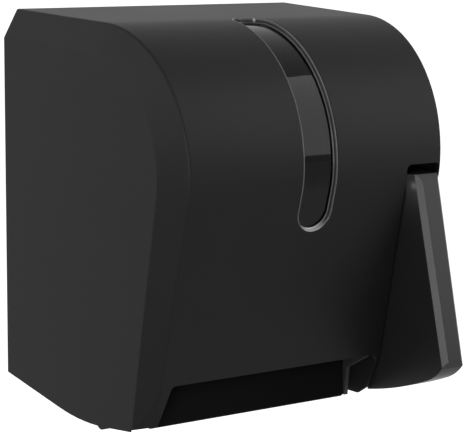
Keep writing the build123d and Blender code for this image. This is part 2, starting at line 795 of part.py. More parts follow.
def lever_cheek():
    """Outer plate that carries the right end of the lever's shaft."""
    low, high = lever_cheek_foot()
    face = outline((plate_thickness, low), (plate_thickness + 96, low + 10), (pivot_depth - 44, low + 10),
                   (pivot_depth - 22, pivot_height - 40), (pivot_depth + 4, pivot_height - 8),
                   (pivot_depth - 4, pivot_height + 8), (pivot_depth - 54, high + 6),
                   (plate_thickness + 96, high - 4), (plate_thickness, high))
    face += Pos(*pivot) * Circle(8.5)
    plate = slab(face, lever_cheek_left, lever_cheek_right) + cheek_foot(2, low, high)
    front = plate_thickness + foot_thickness
    plate += box(lever_cheek_left - 1, lever_cheek_right, plate_thickness, front, low, high)
    return plate - rod(bush_radius, lever_cheek_left - 1, lever_cheek_right + 1, *pivot)


def spring_post():
    """Place of the post that holds the fixed leg of the lever's spring."""
    return (pivot_depth - 13, pivot_height + 17)


def bush(inner, left, right, centre):
    """Plain bearing with a thin flange on its left."""
    flange = tube(bush_radius + 1.5, inner, left - 0.8, left, *centre)
    return flange + tube(bush_radius, inner, left, right, *centre)


def guard_posts():
    """Places of the posts that hold the gear guard off the right cheek."""
    return [(feed[0] - 30, feed[1] - 14), (feed[0] + 27, feed[1] - 15), polar(idler, idler_radius + 10, 115)]


def gear_guard():
    """Thin plate that keeps the towel's edge off the gears, on three posts."""
    face = make_hull((Pos(*guard_posts()[0]) * Circle(7) + Pos(*guard_posts()[1]) * Circle(7)
                      + Pos(*guard_posts()[2]) * Circle(7) + Pos(*yoke) * Circle(6.5)).edges())
    face -= Pos(*feed) * Circle(feed_shaft_radius + 1) + Pos(*yoke) * Circle(yoke_rod_radius)
    guard = slab(face, guard_left, guard_left + guard_thickness)
    for place in guard_posts():
        guard += rod(4, guard_left, right_cheek_left, *place)
        guard -= rod(screw_radius, guard_left + 4, right_cheek_left + 1, *place)
    return guard


def guard_screws():
    """Screws through the right cheek into the guard's posts."""
    screws = []
    for place in guard_posts():
        head = rod(screw_head_radius, right_cheek_right, right_cheek_right + screw_head_height, *place)
        screws.append(head + rod(screw_radius - running, right_cheek_left - 6, right_cheek_right, *place))
    return Compound(children=screws)


def cross_recessed_screws(places, seat, grip):
    """Pan-head screws along the wall's normal, each with a cross recess."""
    screws = []
    for x, height in places:
        head = stud(screw_head_radius, seat, seat + screw_head_height, x, height)
        recess = Pos(x, height) * (Rectangle(3.4, 0.8) + Rectangle(0.8, 3.4))
        head -= front_block(recess, seat + 1, seat + screw_head_height)
        screws.append(head + stud(screw_radius - running, seat - grip, seat, x, height))
    return Compound(children=screws)


def toe_depth():
    """Depth of the chute's toe, at the foot of the recess's rear wall."""
    return feed[0] + 18.0


def guide_chute():
    """Bent guide behind the towel: its front wall is the back of the recess, its floor closes the drive."""
    top = (feed[0] + feed_radius - 3, feed[1] - feed_radius - 5)
    toe = (toe_depth(), 6)
    face = outline((top[0] - 2, top[1]), top, toe, (toe[0] - 3, toe[1] - 2.5), (belly_depth + 2, 5),
                   (belly_depth + 2, 7), (toe[0] - 6, toe[1]))
    face = rounded(face, 1, toe, (toe[0] - 3, toe[1] - 2.5))
    chute = slab(face, left_cheek_right + play, right_cheek_left - play)
    fin = outline((top[0] - 3, top[1] - 4), (toe[0] - 5, toe[1] + 1), (belly_depth + 6, 6),
                  (belly_depth + 6, 10), (top[0] - 20, 22))
    for x in spread(left_cheek_right, right_cheek_left, 5):
        chute += slab(fin, x - 1, x + 1)
    return chute


def crossbar():
    """Bar under the pinch roller that stiffens the cheeks and carries the tear bar."""
    rear = bar_rear()
    front = front_depth(lip_height + 6) - 2 * wall
    face = outline((rear, lip_height + 0.5), (front - 3, lip_height + 0.5), (front, lip_height + 5),
                   (front + 1, lip_height + 13), (rear + 2, lip_height + 15), (rear, lip_height + 13))
    bar = slab(face, left_cheek_right, right_cheek_left)
    for x in spread(left_cheek_right, right_cheek_left, 5):
        gusset = outline((rear + 3, lip_height - 3), (front - 5, lip_height + 1), (rear + 3, lip_height + 1))
        bar += slab(gusset, x - 0.9, x + 0.9)
    for x in tear_screw_places():
        bar -= stud(screw_radius - 0.5, rear, rear + 6, x, lip_height + 8)
    return bar


def bar_rear():
    """Depth of the crossbar's rear face, just in front of the pinch roller's path."""
    return pinch[0] + pinch_radius + 0.7


def tear_screw_places():
    """X of the tear bar's screws."""
    return [roll_middle - 90, roll_middle, roll_middle + 90]


def tear_bar():
    """Serrated steel strip on the rear face of the crossbar, teeth down."""
    pitch = 6.0
    count = int(roll_width // pitch)
    start = roll_middle - count * pitch / 2
    edge = lip_height - 3.5
    points = [(start, lip_height + 12)]
    for tooth in range(count):
        points += [(start + tooth * pitch, edge + 4), (start + (tooth + 0.5) * pitch, edge)]
    points += [(start + count * pitch, edge + 4), (start + count * pitch, lip_height + 12)]
    face = outline(*points)
    for x in tear_screw_places():
        face -= Pos(x, lip_height + 8) * Circle(screw_radius - 0.5)
    return front_block(face, bar_rear() - 1, bar_rear())


def tear_bar_screws():
    """Flat-headed screws through the tear bar."""
    rear = bar_rear() - 1
    screws = []
    for x in tear_screw_places():
        screws.append(stud(2.4, rear - 0.6, rear, x, lip_height + 8)
                      + stud(screw_radius - 0.5 - running, rear, rear + 5, x, lip_height + 8))
    return Compound(children=screws)


# ---- feed and pinch rollers ----
def feed_shaft():
    """Steel shaft of the feed roller, with a flat for the thumb wheel."""
    left = left_cheek_left - 12
    shaft = rod(feed_shaft_radius, left, right_cheek_right + 1, *feed)
    flat = feed_shaft_radius - 0.8
    return shaft - box(left - 1, left + 10, feed[0] + flat, feed[0] + flat + 5,
                       feed[1] - 10, feed[1] + 10)


def feed_core():
    """Moulded core between the shaft and the rubber sleeves, with a collar beside each sleeve."""
    core = rod(feed_radius - 4, sleeve_places[0][0] - 2, sleeve_places[-1][1] + 2, *feed)
    for low, high in sleeve_places:
        core += rod(feed_radius - 2.5, low - 1.5, low, *feed)
        core += rod(feed_radius - 2.5, high, high + 1.5, *feed)
    return core - rod(feed_shaft_radius, sleeve_places[0][0] - 5, sleeve_places[-1][1] + 5, *feed)


def feed_sleeves():
    """Rubber sleeves that grip the towel, grooved along their length."""
    grooves = Sketch()
    for step in range(12):
        grooves += Pos(*polar((0, 0), feed_radius, step * 30)) * Circle(0.9)
    ring = Circle(feed_radius) - Circle(feed_radius - 4) - grooves
    return Compound(children=[slab(Pos(*feed) * ring, low, high) for low, high in sleeve_places])


def thumb_wheel():
    """Scalloped wheel on the left end of the feed shaft, for threading the towel."""
    left = left_cheek_left - 11
    face = Circle(19) - Circle(feed_shaft_radius)
    for step in range(16):
        face -= Pos(*polar((0, 0), 20.2, step * 22.5)) * Circle(2.6)
    wheel = slab(Pos(*feed) * face, left, left + 7)
    return wheel + tube(8, feed_shaft_radius, left, left + 9.5, *feed)


def shaft_clips():
    """Spring clips that hold the feed shaft endways."""
    ring = Circle(6.5) - Circle(feed_shaft_radius)
    ring -= Pos(5, 0) * Rectangle(6, 3.6)
    return Compound(children=[slab(Pos(*feed) * ring, x, x + 0.8)
                              for x in (left_cheek_left - 12, guard_left - 2.4)])


def pinch_shaft():
    """Steel shaft of the pinch roller, carried in the yoke's arms."""
    return rod(pinch_shaft_radius, yoke_arm_left, yoke_arm_right, *pinch)


def pinch_sleeves():
    """Soft rollers on the pinch shaft, facing the feed sleeves."""
    face = Pos(*pinch) * (Circle(pinch_radius) - Circle(pinch_shaft_radius))
    return Compound(children=[slab(face, low + 2, high - 2) for low, high in sleeve_places])


def pinch_yoke():
    """Swinging yoke that presses the pinch roller on the feed roller."""
    arm = make_hull((Pos(*pinch) * Circle(5.2) + Pos(*yoke) * Circle(5.2)).edges())
    arm -= Pos(*pinch) * Circle(pinch_shaft_radius + running)
    arm -= Pos(*yoke) * Circle(yoke_rod_radius + running)
    low, high = yoke_arm_left - 0.2, yoke_arm_right + 0.2
    frame = slab(arm, low, low + yoke_arm_width) + slab(arm, high - yoke_arm_width, high)
    frame += tube(5.2, yoke_rod_radius + running, low, high, *yoke)
    rib = outline((yoke[0] - 3, yoke[1] - 3.5), (yoke[0] + 3, yoke[1] - 3.5),
                  (pinch[0] + 7, pinch[1] + 14), (pinch[0] + 4, pinch[1] + 13))
    frame += slab(rib, low, high)
    for x in spring_places():
        frame -= slab(Pos(*yoke) * Circle(8), x - 0.5, x + 7.5)
        frame += slab(Pos(*yoke) * (Circle(3.6) - Circle(yoke_rod_radius + running)), x - 1, x + 8)
    return frame


def spring_places():
    """Left ends of the two pinch springs."""
    return [sleeve_places[0][1] + 5, sleeve_places[1][1] + 4]


def yoke_rod():
    """Rod that the yoke swings on, held in the left cheek and the guard."""
    return rod(yoke_rod_radius, left_cheek_left, guard_left + guard_thickness, *yoke)


def coil(radius, wire, turns, left, centre):
    """Close coil of round wire about an axis along X."""
    pitch = wire * 1.15
    helix = Helix(pitch, pitch * turns, radius)
    section = Plane(origin=helix @ 0, z_dir=helix % 0) * Circle(wire / 2)
    spring = sweep(section, path=helix, is_frenet=True)
    turn = Plane(origin=(left + wire / 2, -centre[0], floor + centre[1]), x_dir=(0, -1, 0), z_dir=(1, 0, 0))
    return turn.location * spring


def pinch_springs():
    """Torsion springs that load the pinch yoke."""
    return Compound(children=[coil(4.6, 1.0, 5, x + 0.5, yoke) for x in spring_places()])


# ---- gears ----
def involute(base, radius):
    """Involute angle at a radius, in radians."""
    ratio = max(1.0, radius / base)
    pressure = math.acos(1 / ratio)
    return math.tan(pressure) - pressure


def tooth(teeth, centre, degrees):
    """One involute tooth of 20 degree pressure angle, from under the root circle to the tip."""
    pitch = gear_module * teeth / 2
    base = pitch * math.cos(math.radians(20))
    root = pitch - 1.25 * gear_module
    tip = pitch + gear_module
    half = (math.pi * gear_module / 2 - backlash) / 2 / pitch + involute(base, pitch)
    radii = [max(base, root) + step / 4 * (tip - max(base, root)) for step in range(5)]
    flank_points = [(radius, half - involute(base, radius)) for radius in radii]
    left = [(root - gear_module / 2, flank_points[0][1])] + flank_points
    points = [polar(centre, radius, degrees - math.degrees(angle)) for radius, angle in left]
    points += [polar(centre, radius, degrees + math.degrees(angle)) for radius, angle in reversed(left)]
    return outline(*points)


def gear_face(teeth, centre, first):
    """A full gear with one tooth in the direction first."""
    pitch = gear_module * teeth / 2
    face = Pos(*centre) * Circle(pitch - 1.25 * gear_module)
    for index in range(teeth):
        face += tooth(teeth, centre, first + index * 360 / teeth)
    return face


def idler_phase():
    """Direction of an idler tooth, with a gap facing the sector's middle tooth."""
    return sector_to_idler + 180 + 180 / idler_teeth


def pinion_phase():
    """Direction of a pinion tooth that meshes with the idler as it stands."""
    pitch = 360 / idler_teeth
    offset = (idler_phase() - idler_to_pinion + pitch / 2) % pitch - pitch / 2
    gap = idler_to_pinion + 180 - offset * idler_teeth / pinion_teeth
    return gap + 180 / pinion_teeth


def gear_sector():
    """Toothed sector keyed to the lever's shaft: hub, two spokes and a rim with teeth."""
    pitch = 360 / sector_teeth
    first, last = -3, int(lever_travel / pitch) + 4
    inner = sector_radius - 9
    root = sector_radius - 1.25 * gear_module
    low = sector_to_idler + (first - 0.5) * pitch
    high = sector_to_idler + (last + 0.5) * pitch
    wedge = outline(pivot, polar(pivot, 2 * sector_radius, low), polar(pivot, 2 * sector_radius, high))
    rim = (Pos(*pivot) * (Circle(root) - Circle(inner))) & wedge
    face = rim + Pos(*pivot) * Circle(11)
    for edge in (low + 3, high - 3):
        spoke = Pos(*polar(pivot, inner / 2, edge)) * Rot(0, 0, edge) * Rectangle(inner + 4, 7)
        face += spoke
    for index in range(first, last + 1):
        face += tooth(sector_teeth, pivot, sector_to_idler + index * pitch)
    web = wedge & Pos(*pivot) * Circle(inner + 1)
    middle = (gear_left + gear_right) / 2
    sector = slab(face, gear_left, gear_right) + slab(web, middle - 1, middle + 1) + hub_of_sector()
    return sector - rod(lever_shaft_radius, gear_left - 1, right_cheek_left, *pivot)


def hub_of_sector():
    """Raised hub of the sector, towards the right cheek."""
    return tube(8.5, lever_shaft_radius, gear_right, right_cheek_left - 1.2, *pivot)


def idler_gear():
    """Idler between the sector and the feed pinion."""
    face = gear_face(idler_teeth, idler, idler_phase())
    bore = rod(idler_stud_radius + running, gear_left - 1, gear_right + 1, *idler)
    return slab(face, gear_left, gear_right) - bore


def idler_stud():
    """Headed steel stud of the idler, pressed into the right cheek."""
    head = rod(5, gear_left - 1.6, gear_left - play, *idler)
    return head + rod(idler_stud_radius, gear_left - play, right_cheek_right, *idler)


def drive_pinion():
    """Pinion on the feed shaft, bored for its one-way clutch."""
    face = gear_face(pinion_teeth, feed, pinion_phase())
    gear = slab(face, gear_left, gear_right) + rod(9.4, gear_right, right_cheek_left - 1.2, *feed)
    return gear - rod(clutch_radius, gear_left - 1, right_cheek_left, *feed)


def clutch_cup():
    """Drawn-cup one-way clutch between the pinion and the feed shaft."""
    return tube(clutch_radius, feed_shaft_radius + running, gear_left, right_cheek_left - 1.2, *feed)


# ---- lever ----
def lever_front(height):
    """Depth of the lever's front face at a height."""
    return lever_brow_depth + math.tan(math.radians(lever_lean)) * (lever_brow - height)


def lever_rear(height):
    """Depth of the open rear edge of the lever's walls at a height."""
    share = (height - lever_heel_height) / (lever_top - lever_heel_height)
    return lever_heel_depth - 12 + share * (pivot_depth - 15 - lever_heel_depth + 12)


def lever_section(height, skin, rear):
    """Plan view of the lever at a height: shoulders, bevels and a narrow front."""
    share = (lever_top - height) / (lever_top - lip_height)
    shoulder = shoulder_left_top + share * (shoulder_left_foot - shoulder_left_top)
    front = lever_front(height) - skin
    step = lever_bevel - skin * (2 - math.sqrt(2))
    edge = front - step
    drift = (lever_top - height) / (lever_top - lever_foot)
    left = lever_left + drift * (bay_left_foot + lever_left_gap - lever_left) + skin
    return outline((shoulder + skin, rear), (shoulder + skin, front_depth(height) - wall), (left, edge),
                   (left + step, front), (lever_right - skin - step, front),
                   (lever_right - skin, edge), (lever_right - skin, rear))


def lever_outline(skin, open_rear):
    """Side view of the lever: bevelled top and foot, lower edge rising to the front, open rear."""
    top = lever_top - skin
    foot = lever_foot + skin
    toe = (lever_front(lever_foot) - lever_bevel * 0.8, lever_foot - 1.4 * lever_bevel + skin)
    chin = (toe[0] - lever_chin, toe[1] - lever_chin * 0.8)
    heel = (lever_heel_depth - 12, lever_heel_height + skin)
    shift = 60.0 if open_rear else 0.0
    crest = (lever_brow_depth - lever_bevel - skin, top)
    brow = (lever_front(lever_brow) - skin, lever_brow - skin / 2)
    edges = [
        Line((lever_rear(lever_top) - shift, top), crest),
        Line(crest, brow),
        Line(brow, (lever_front(foot) - skin, foot)),
        Line((lever_front(foot) - skin, foot), (toe[0] - skin, toe[1])),
        sagging((toe[0] - skin, toe[1]), (chin[0] - skin, chin[1]), 1.5),
        sagging((chin[0] - skin, chin[1]), heel, 2.4),
    ]
    if open_rear:
        edges.append(Line(heel, (heel[0] - shift, heel[1])))
    edges.append(Line((heel[0] - shift, heel[1]), (lever_rear(lever_top) - shift, top)))
    return make_face(edges)


def lever_form(skin=0.0, open_rear=False):
    """The lever's closed form, or the hollow lying a skin inside it and running out at the rear."""
    rear = lever_heel_depth - 100
    low = lever_heel_height - 30
    high = lever_top
    body = loft([plan_view(low) * lever_section(low, skin, rear),
                 plan_view(high) * lever_section(high, skin, rear)], ruled=True)
    return body & slab(lever_outline(skin, open_rear), shoulder_left_top - 20, lever_right + 20)


def lever_shell():
    """Moulded push lever: hollow wedge with a bevelled bar in front, ribs and bosses for its shaft."""
    hollow = lever_form(lever_wall, True)
    for height in (lever_foot + 12, (lever_foot + lever_brow) / 2 - 12, lever_brow - 50):
        hollow -= box(0, rear_half_width, 0, casing_depth + crown_radius, height - 1, height + 1)
    boss = Pos(*pivot) * Circle(lever_boss_radius)
    hollow -= slab(boss, lever_boss_left, lever_boss_left + 8)
    hollow -= slab(boss, lever_right - 8, lever_right)
    hollow -= box(0, rear_half_width, pivot_depth - 9, pivot_depth - 6.5, pivot_height - 9, lever_top)
    shell = lever_form() - hollow
    shell += slab(boss, lever_right - lever_wall / 2, lever_boss_right)
    return shell - rod(lever_shaft_radius, lever_boss_left - 1, lever_boss_right + 1, *pivot) - pin_hole()


def lever_shaft():
    """Steel shaft that turns with the lever and the sector."""
    return rod(lever_shaft_radius, spring_left - 1, lever_cheek_right + 1, *pivot) - pin_hole()


def pin_hole():
    """Cross hole through the lever's right boss and shaft."""
    reach = lever_boss_radius + 0.5
    return plan_block(Pos(lever_right - 5, pivot_depth) * Circle(roll_pin_radius),
                      pivot_height - reach, pivot_height + reach)


def lever_roll_pin():
    """Roll pin through the lever's right boss and shaft."""
    ring = Circle(roll_pin_radius) - Circle(roll_pin_radius - 0.7)
    reach = lever_boss_radius - 0.2
    return plan_block(Pos(lever_right - 5, pivot_depth) * ring, pivot_height - reach, pivot_height + reach)


def stop_bumper():
    """Rubber block on the right cheek that the lever's rear edge rests against."""
    rear = lever_rear(lever_top)
    left = right_cheek_right + 0.5
    return box(left, lever_left - 1.5, rear - 4, rear - 0.6, pivot_height + 6, lever_top + 4)


def lever_spring():
    """Torsion spring that swings the lever out, hooked on the cheek's post and on the sector."""
    spring = coil(lever_coil_radius, lever_wire, 6, spring_left, pivot)
    post = spring_post()
    reach = math.hypot(post[0] - pivot[0], post[1] - pivot[1])
    bearing = math.degrees(math.atan2(post[1] - pivot[1], post[0] - pivot[0]))
    start = polar(pivot, lever_coil_radius, bearing - 70)
    end = polar(post, post_radius + lever_wire / 2 + running, bearing - 90)
    leg = Plane(origin=(spring_left + lever_wire / 2, -start[0], floor + start[1]),
                z_dir=(0, start[0] - end[0], end[1] - start[1]))
    length = math.hypot(end[0] - start[0], end[1] - start[1]) + 4
    return spring + extrude(leg * Circle(lever_wire / 2), length)


# ---- assembly ----
def nodes():
    """Every piece by name, in place."""
    return {
        "front_cover": front_cover(),
        "window_lens": window_lens(),
        "lock_barrel": lock_barrel(),
        "lock_nut": lock_nut(),
        "lock_strike": lock_strike(),
        "strike_screws": cross_recessed_screws(strike_screw_places(), plate_thickness + strike_thickness, 5),
        "lock_plug": lock_plug(),
        "lock_cam": lock_cam(),
        "cam_screw": cam_screw(),
        "back_plate": back_plate(),
        "hinge_pin_left": hinge_pin(-1),
        "hinge_pin_right": hinge_pin(1),
        "roll_arm_left": roll_arm(-1),
        "roll_arm_right": roll_arm(1),
        "arm_screws": cross_recessed_screws(arm_screw_places(), plate_thickness + foot_thickness, 6),
        "core_hub_left": core_hub(-1),
        "core_hub_right": core_hub(1),
        "hub_clip_left": hub_clip(-1),
        "hub_clip_right": hub_clip(1),
        "left_cheek": left_cheek(),
        "right_cheek": right_cheek(),
        "lever_cheek": lever_cheek(),
        "cheek_screws": cross_recessed_screws(cheek_screw_places(), plate_thickness + foot_thickness, 6),
        "gear_guard": gear_guard(),
        "guard_screws": guard_screws(),
        "guide_chute": guide_chute(),
        "crossbar": crossbar(),
        "tear_bar": tear_bar(),
        "tear_bar_screws": tear_bar_screws(),
        "feed_bush_left": bush(feed_shaft_radius + running, left_cheek_left, left_cheek_right, feed),
        "feed_bush_right": bush(feed_shaft_radius + running, right_cheek_left, right_cheek_right, feed),
        "lever_bush_left": bush(lever_shaft_radius + running, right_cheek_left, right_cheek_right, pivot),
        "lever_bush_right": bush(lever_shaft_radius + running, lever_cheek_left, lever_cheek_right, pivot),
        "feed_shaft": feed_shaft(),
        "feed_core": feed_core(),
        "feed_sleeves": feed_sleeves(),
        "thumb_wheel": thumb_wheel(),
        "shaft_clips": shaft_clips(),
        "yoke_rod": yoke_rod(),
        "pinch_yoke": pinch_yoke(),
        "pinch_shaft": pinch_shaft(),
        "pinch_sleeves": pinch_sleeves(),
        "pinch_springs": pinch_springs(),
        "idler_stud": idler_stud(),
        "idler_gear": idler_gear(),
        "drive_pinion": drive_pinion(),
        "clutch_cup": clutch_cup(),
        "gear_sector": gear_sector(),
        "lever_shaft": lever_shaft(),
        "lever_shell": lever_shell(),
        "lever_roll_pin": lever_roll_pin(),
        "lever_spring": lever_spring(),
        "stop_bumper": stop_bumper(),
    }


os.makedirs("parts", exist_ok=True)
for name, piece in nodes().items():
    export_step(piece, f"parts/{name}.step")
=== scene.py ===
import json
import math

import bpy
import numpy as np
from mathutils import Matrix, Vector


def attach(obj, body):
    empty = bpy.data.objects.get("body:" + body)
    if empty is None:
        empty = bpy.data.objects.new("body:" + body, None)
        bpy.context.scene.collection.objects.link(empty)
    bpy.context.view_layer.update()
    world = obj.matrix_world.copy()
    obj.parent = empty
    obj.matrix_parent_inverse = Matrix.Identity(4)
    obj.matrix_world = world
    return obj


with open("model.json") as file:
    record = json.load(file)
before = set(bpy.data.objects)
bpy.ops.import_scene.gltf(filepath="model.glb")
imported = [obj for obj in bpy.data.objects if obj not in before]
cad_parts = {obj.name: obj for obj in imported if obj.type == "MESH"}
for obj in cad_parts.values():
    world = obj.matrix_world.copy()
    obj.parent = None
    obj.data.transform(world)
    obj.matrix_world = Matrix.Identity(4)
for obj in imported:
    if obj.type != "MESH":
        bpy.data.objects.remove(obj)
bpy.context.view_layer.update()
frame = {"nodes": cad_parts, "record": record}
nodes = frame["nodes"]


# ---- camera ----
FOCAL_MM, SENSOR_MM = 147.414, 36
FAR_CLIP = 100
CAMERA_AT = (-1.02025, -1.5748, 0.2889)
YAW, PITCH, ROLL = 0.617964, 0.188804, 0.0306804


def studio_camera():
    """Camera that looks down its yaw and pitch, then rolls about its line of sight."""
    forward = Vector((math.sin(YAW) * math.cos(PITCH), math.cos(YAW) * math.cos(PITCH), -math.sin(PITCH)))
    right = Vector((math.cos(YAW), -math.sin(YAW), 0))
    up = right.cross(forward)
    turned_right = math.cos(ROLL) * right + math.sin(ROLL) * up
    turned_up = -math.sin(ROLL) * right + math.cos(ROLL) * up
    data = bpy.data.cameras.new("studio_camera")
    data.sensor_fit = "HORIZONTAL"
    data.sensor_width = SENSOR_MM
    data.lens = FOCAL_MM
    data.clip_end = FAR_CLIP
    camera = bpy.data.objects.new("studio_camera", data)
    bpy.context.scene.collection.objects.link(camera)
    camera.matrix_world = Matrix.Translation(CAMERA_AT) @ Matrix(
        (turned_right, turned_up, -forward)).transposed().to_4x4()
    bpy.context.scene.camera = camera


studio_camera()


# ---- node helpers ----
# Sockets of a colour mix node that are told apart only by their numbers.
MIX_SHARE, MIX_FIRST, MIX_SECOND, MIX_RESULT = 0, 6, 7, 2


def add(tree, kind, **values):
    """A shader node, with attributes and input values set by name."""
    node = tree.nodes.new(kind)
    for name, value in values.items():
        if hasattr(node, name):
            setattr(node, name, value)
        else:
            node.inputs[name.replace("_", " ")].default_value = value
    return node


def join(tree, *pairs):
    """Links given as (node, output, node, input)."""
    for source, output, target, entry in pairs:
        tree.links.new(source.outputs[output], target.inputs[entry])


def group(name, inputs, outputs):
    """An empty node group with named sockets and their defaults."""
    tree = bpy.data.node_groups.new(name, "ShaderNodeTree")
    for label, kind, value in inputs:
        socket = tree.interface.new_socket(label, in_out="INPUT", socket_type=kind)
        socket.default_value = value
    for label, kind in outputs:
        tree.interface.new_socket(label, in_out="OUTPUT", socket_type=kind)
    return tree, tree.nodes.new("NodeGroupInput"), tree.nodes.new("NodeGroupOutput")


# ---- grain and dust ----
GRAIN_PER_METRE = 1600.0
NOISE_MIDDLE = 0.5
CLOUD_FROM, CLOUD_FULL = 0.45, 0.8      # noise values between which the dust comes in
DUST_DULLING = 1.5                      # roughness that full dust adds


def moulded_grain():
    """Spark-eroded mould grain: fine noise for height, with a slow drift in roughness.

    Roughness = base roughness + drift times (slow noise - its middle value).
    """
    tree, given, out = group("moulded_grain", [
        ("Grain per metre", "NodeSocketFloat", GRAIN_PER_METRE),
        ("Base roughness", "NodeSocketFloat", 0.4),
        ("Roughness drift", "NodeSocketFloat", 0.05),
    ], [("Height", "NodeSocketFloat"), ("Roughness", "NodeSocketFloat")])
    place = add(tree, "ShaderNodeTexCoord")
    fine = add(tree, "ShaderNodeTexNoise", Detail=3.0, Roughness=0.6)
    slow = add(tree, "ShaderNodeTexNoise", Scale=9.0, Detail=4.0)
    drift = add(tree, "ShaderNodeMath", operation="MULTIPLY_ADD")
    centred = add(tree, "ShaderNodeMath", operation="SUBTRACT")
    centred.inputs[1].default_value = NOISE_MIDDLE
    join(tree, (place, "Object", fine, "Vector"), (place, "Object", slow, "Vector"),
         (given, "Grain per metre", fine, "Scale"), (slow, "Fac", centred, 0),
         (centred, 0, drift, 0), (given, "Roughness drift", drift, 1),
         (given, "Base roughness", drift, 2),
         (fine, "Fac", out, "Height"), (drift, 0, out, "Roughness"))
    return tree


def handling_dust():
    """Faint dust and finger haze: a broken cloud mask that lifts the colour and adds roughness."""
    tree, given, out = group("handling_dust", [
        ("Color", "NodeSocketColor", (0.02, 0.02, 0.02, 1)),
        ("Dust", "NodeSocketColor", (0.3, 0.29, 0.27, 1)),
        ("Amount", "NodeSocketFloat", 0.03),
        ("Roughness", "NodeSocketFloat", 0.4),
    ], [("Color", "NodeSocketColor"), ("Roughness", "NodeSocketFloat")])
    place = add(tree, "ShaderNodeTexCoord")
    cloud = add(tree, "ShaderNodeTexNoise", Scale=26.0, Detail=6.0, Roughness=0.65)
    mask = add(tree, "ShaderNodeMapRange", From_Min=CLOUD_FROM, From_Max=CLOUD_FULL)
    share = add(tree, "ShaderNodeMath", operation="MULTIPLY")
    mix = add(tree, "ShaderNodeMix", data_type="RGBA")
    dull = add(tree, "ShaderNodeMath", operation="MULTIPLY_ADD")
    dull.inputs[1].default_value = DUST_DULLING
    join(tree, (place, "Object", cloud, "Vector"), (cloud, "Fac", mask, "Value"),
         (mask, "Result", share, 0), (given, "Amount", share, 1),
         (share, 0, mix, MIX_SHARE), (given, "Color", mix, MIX_FIRST), (given, "Dust", mix, MIX_SECOND),
         (share, 0, dull, 0), (given, "Roughness", dull, 2),
         (mix, MIX_RESULT, out, "Color"), (dull, 0, out, "Roughness"))
    return tree


GRAIN = moulded_grain()
DUST = handling_dust()


# ---- finishes ----
MOULD_RELIEF, SCRATCH_RELIEF = 0.00003, 0.00001     # metres
MOULD_EDGE, METAL_EDGE = 0.0008, 0.0003             # radius of the softened edges
SCRATCH_SMOOTHER, SCRATCH_ROUGHER = 0.06, 0.1
SCRATCH_SHADE = 0.8
SMOKE_TINT = (0.012, 0.012, 0.0125, 1)


def shader(name, **values):
    """A material with its Principled shader, whose plain values are set on its own sockets."""
    material = bpy.data.materials.new(name)
    material.use_nodes = True
    tree = material.node_tree
    principled = next(n for n in tree.nodes if n.type == "BSDF_PRINCIPLED")
    for label, value in values.items():
        principled.inputs[label.replace("_", " ")].default_value = value
    return material, tree, principled


def moulded(name, colour, roughness, grain=GRAIN_PER_METRE, relief=MOULD_RELIEF, dust=0.03, **values):
    """Moulded plastic or rubber: tinted, grained, dusty where it is given dust, with softened edges."""
    material, tree, principled = shader(name, **values)
    skin = add(tree, "ShaderNodeGroup", node_tree=GRAIN)
    skin.inputs["Grain per metre"].default_value = grain
    skin.inputs["Base roughness"].default_value = roughness
    film = add(tree, "ShaderNodeGroup", node_tree=DUST)
    film.inputs["Color"].default_value = (*colour, 1)
    film.inputs["Amount"].default_value = dust
    round_edge = add(tree, "ShaderNodeBevel", samples=4, Radius=MOULD_EDGE)
    bump = add(tree, "ShaderNodeBump", Strength=0.5, Distance=relief)
    join(tree, (skin, "Roughness", film, "Roughness"), (film, "Color", principled, "Base Color"),
         (film, "Roughness", principled, "Roughness"), (skin, "Height", bump, "Height"),
         (round_edge, "Normal", bump, "Normal"), (bump, "Normal", principled, "Normal"))
    return material


def metal(name, colour, roughness, stretch=(60, 900, 900)):
    """Ground or plated metal: fine scratches in height, roughness and shade, drawn out as stretch says."""
    material, tree, principled = shader(name, Metallic=1.0)
    place = add(tree, "ShaderNodeTexCoord")
    turn = add(tree, "ShaderNodeMapping", Scale=stretch)
    scratch = add(tree, "ShaderNodeTexNoise", Scale=1.0, Detail=4.0)
    shine = add(tree, "ShaderNodeMapRange", To_Min=roughness - SCRATCH_SMOOTHER,
                To_Max=roughness + SCRATCH_ROUGHER)
    tint = add(tree, "ShaderNodeMix", data_type="RGBA")
    tint.inputs[MIX_FIRST].default_value = (*[c * SCRATCH_SHADE for c in colour], 1)
    tint.inputs[MIX_SECOND].default_value = (*colour, 1)
    round_edge = add(tree, "ShaderNodeBevel", samples=4, Radius=METAL_EDGE)
    bump = add(tree, "ShaderNodeBump", Strength=0.4, Distance=SCRATCH_RELIEF)
    join(tree, (place, "Object", turn, "Vector"), (turn, "Vector", scratch, "Vector"),
         (scratch, "Fac", shine, "Value"), (scratch, "Fac", tint, MIX_SHARE),
         (tint, MIX_RESULT, principled, "Base Color"),
         (shine, "Result", principled, "Roughness"), (scratch, "Fac", bump, "Height"),
         (round_edge, "Normal", bump, "Normal"), (bump, "Normal", principled, "Normal"))
    return material


def smoked_clear():
    """Smoked clear plastic: a dark tint that still lets light through, with a slow drift in its polish."""
    material, tree, principled = shader("smoked_window", Transmission_Weight=0.85, IOR=1.2)
    skin = add(tree, "ShaderNodeGroup", node_tree=GRAIN)
    skin.inputs["Base roughness"].default_value = 0.03
    skin.inputs["Roughness drift"].default_value = 0.02
    principled.inputs["Base Color"].default_value = SMOKE_TINT
    join(tree, (skin, "Roughness", principled, "Roughness"))
    return material


